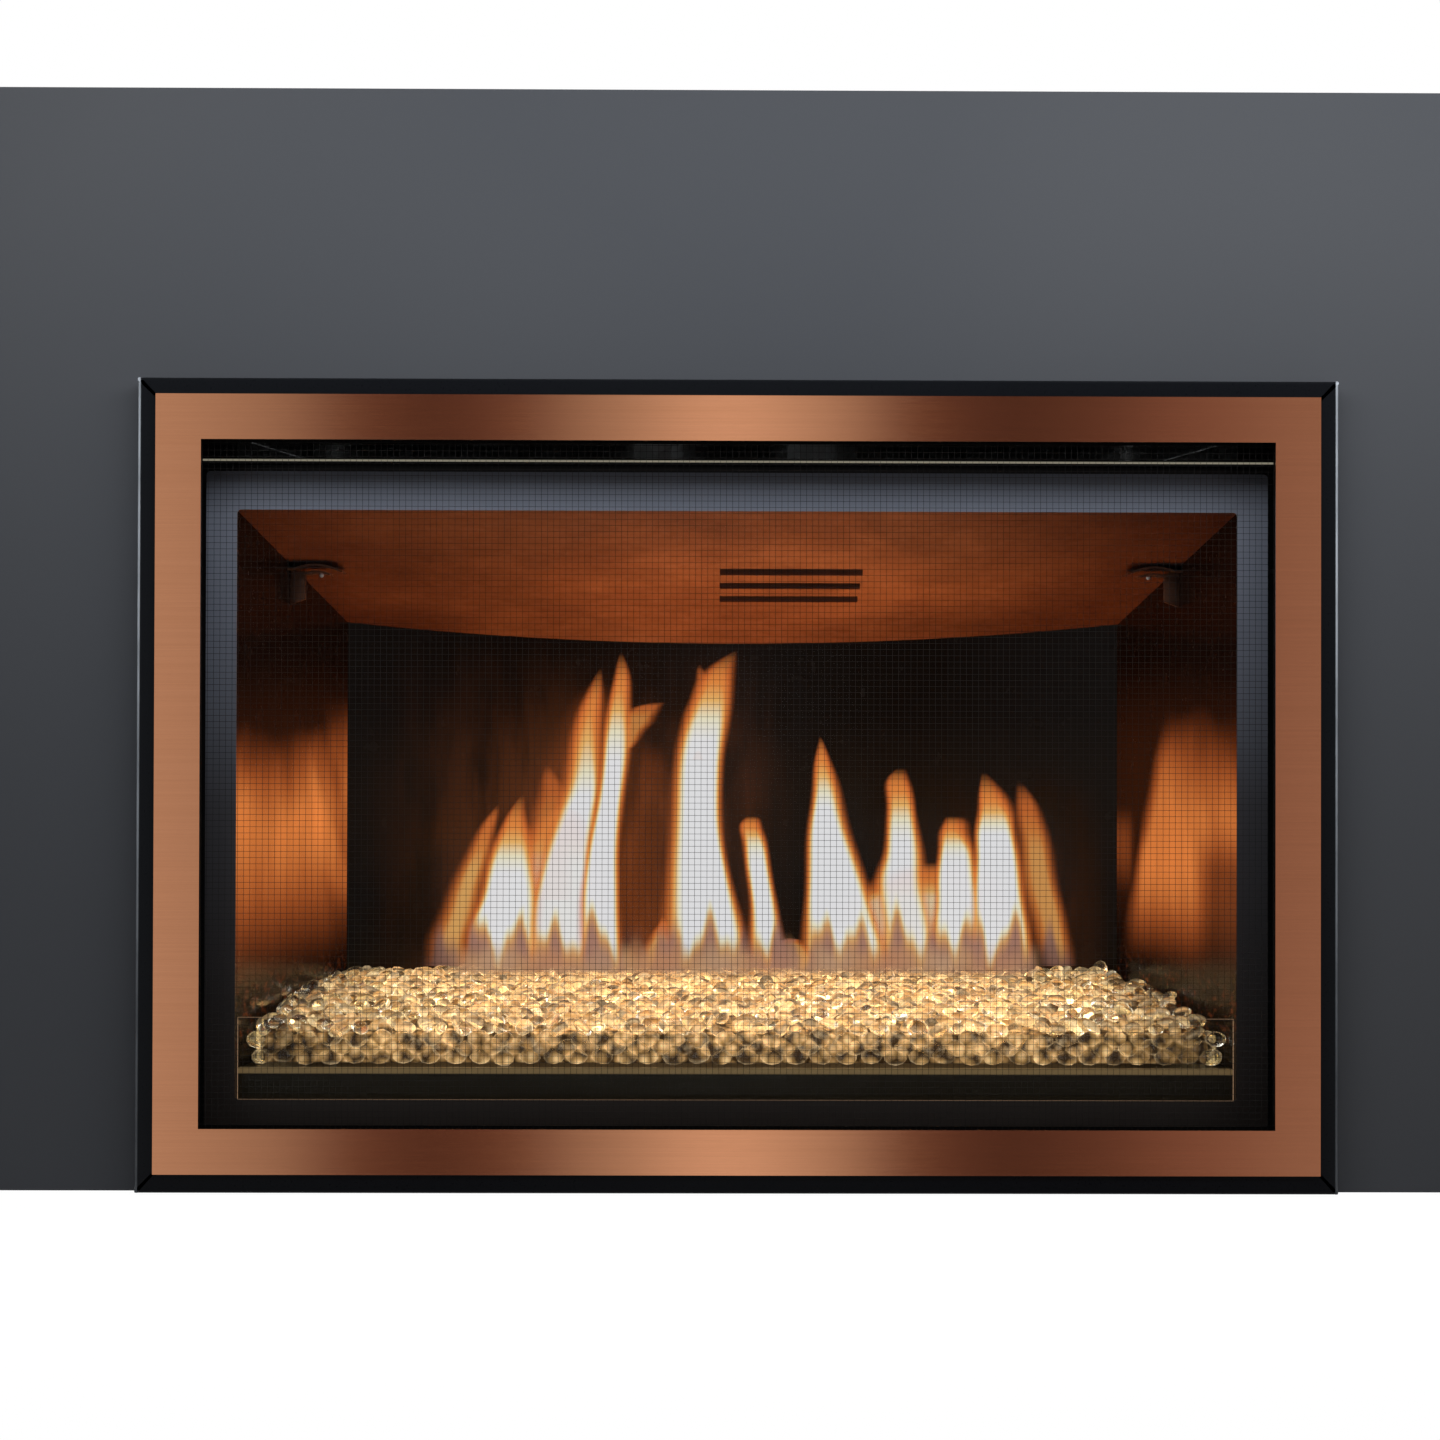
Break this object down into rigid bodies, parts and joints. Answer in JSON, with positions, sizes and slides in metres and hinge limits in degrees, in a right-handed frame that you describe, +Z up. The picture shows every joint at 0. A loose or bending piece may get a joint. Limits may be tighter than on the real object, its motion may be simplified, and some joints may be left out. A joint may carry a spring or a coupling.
{
  "type": "fireplace insert",
  "caption": "Gas fireplace insert with a wide steel surround, lift-off copper-faced barrier front, glass-bead burner, air blower and twin flue collars.",
  "frame": {"origin": "on the hearth under the middle of the whole part's box", "axes": "+X to the right seen from the room, +Y back into the chimney, +Z up; the front faces -Y"},
  "size_m": [1.219, 0.431, 0.762],
  "materials": {
    "charcoal_paint": "satin charcoal powder coat",
    "black_paint": "satin black high-temperature paint",
    "brushed_copper": "brushed copper plate, grain running across",
    "screen_wire": "fine black wire mesh",
    "galvanised_steel": "galvanised sheet",
    "bare_steel": "plain rolled steel",
    "black_enamel": "high-gloss black porcelain enamel",
    "fired_steel": "heat-stained steel",
    "ceramic_glass": "clear ceramic glass",
    "glass_beads": "clear polished beads",
    "rope_gasket": "woven glass-fibre rope",
    "cast_aluminium": "die cast",
    "brass": "machined",
    "black_plastic": "moulded",
    "white_ceramic": "fired"
  },
  "bodies": {
    "root": {"surround_panel": "charcoal_paint", "surround_bracket_left": "galvanised_steel", "surround_bracket_right": "galvanised_steel", "base_pan": "galvanised_steel", "casing_top": "galvanised_steel", "casing_left_side": "galvanised_steel", "casing_right_side": "galvanised_steel", "casing_back": "galvanised_steel", "face_plate": "black_paint", "air_deflector": "bare_steel", "glass_frame": "black_paint", "glass_pane": "ceramic_glass", "glass_gasket": "rope_gasket", "firebox_shell": "galvanised_steel", "side_reflector_left": "black_enamel", "side_reflector_right": "black_enamel", "back_reflector": "black_enamel", "ceiling_baffle": "fired_steel", "ceiling_clip_left": "bare_steel", "ceiling_clip_right": "bare_steel", "burner_tray": "black_paint", "burner_pan": "bare_steel", "burner_port_plate": "bare_steel", "media_guard_glass": "ceramic_glass", "glass_bead_media": "glass_beads", "venturi_tube": "cast_aluminium", "orifice_holder": "brass", "pilot_burner": "bare_steel", "spark_electrode": "white_ceramic", "gas_inlet_pipe": "bare_steel", "shutoff_valve": "brass", "gas_connector": "bare_steel", "gas_valve": "cast_aluminium", "burner_supply_tube": "cast_aluminium", "control_plate": "black_paint", "switch_body": "black_plastic", "fan_speed_control": "black_plastic", "blower_scroll": "galvanised_steel", "blower_end_left": "galvanised_steel", "blower_end_right": "galvanised_steel", "blower_motor": "black_paint", "vent_plate": "galvanised_steel", "exhaust_collar": "galvanised_steel", "intake_collar": "galvanised_steel"},
    "lift_off_front": {"frame_top_rail": "black_paint", "frame_bottom_rail": "black_paint", "frame_left_stile": "black_paint", "frame_right_stile": "black_paint", "copper_face_plate": "brushed_copper", "barrier_screen": "screen_wire", "screen_retainer": "black_paint"},
    "left_latch": {"glass_latch_left": "bare_steel"},
    "right_latch": {"glass_latch_right": "bare_steel"},
    "gas_cock_knob": {"gas_knob": "black_plastic"},
    "flame_height_knob": {"flame_knob": "black_plastic"},
    "rocker": {"blower_rocker": "black_plastic"},
    "fan_knob": {"fan_speed_knob": "black_plastic"},
    "cock_lever": {"shutoff_lever": "bare_steel"},
    "shutter": {"air_shutter": "bare_steel"},
    "wheel": {"blower_wheel": "cast_aluminium"}
  },
  "joints": [
    {"name": "front_lift", "type": "slide", "parent": "root", "child": "lift_off_front", "axis": [0, 0, 1], "range_m": [0, 0.018]},
    {"name": "left_latch_turn", "type": "hinge", "parent": "root", "child": "left_latch", "pos_m": [-0.345, -0.1625, 0.018], "axis": [0, 1, 0], "range_deg": [0, 90]},
    {"name": "right_latch_turn", "type": "hinge", "parent": "root", "child": "right_latch", "pos_m": [0.345, -0.1625, 0.018], "axis": [0, -1, 0], "range_deg": [0, 90]},
    {"name": "gas_cock_turn", "type": "hinge", "parent": "root", "child": "gas_cock_knob", "pos_m": [-0.178, -0.1655, 0.018], "axis": [0, 1, 0], "range_deg": [0, 90]},
    {"name": "flame_height_turn", "type": "hinge", "parent": "root", "child": "flame_height_knob", "pos_m": [-0.132, -0.1655, 0.018], "axis": [0, 1, 0], "range_deg": [0, 150]},
    {"name": "rocker_tilt", "type": "hinge", "parent": "root", "child": "rocker", "pos_m": [0.186, -0.1481, 0.016], "axis": [1, 0, 0], "range_deg": [-6, 6]},
    {"name": "fan_speed_turn", "type": "hinge", "parent": "root", "child": "fan_knob", "pos_m": [0.25, -0.1655, 0.017], "axis": [0, 1, 0], "range_deg": [0, 270]},
    {"name": "shutoff_turn", "type": "hinge", "parent": "root", "child": "cock_lever", "pos_m": [-0.312, -0.1055, 0.041], "axis": [0, 0, -1], "range_deg": [0, 90]},
    {"name": "air_shutter_slide", "type": "slide", "parent": "root", "child": "shutter", "axis": [1, 0, 0], "range_m": [0, 0.008]},
    {"name": "blower_spin", "type": "hinge", "parent": "root", "child": "wheel", "pos_m": [0, 0.1305, 0.047], "axis": [1, 0, 0], "continuous": true}
  ]
}
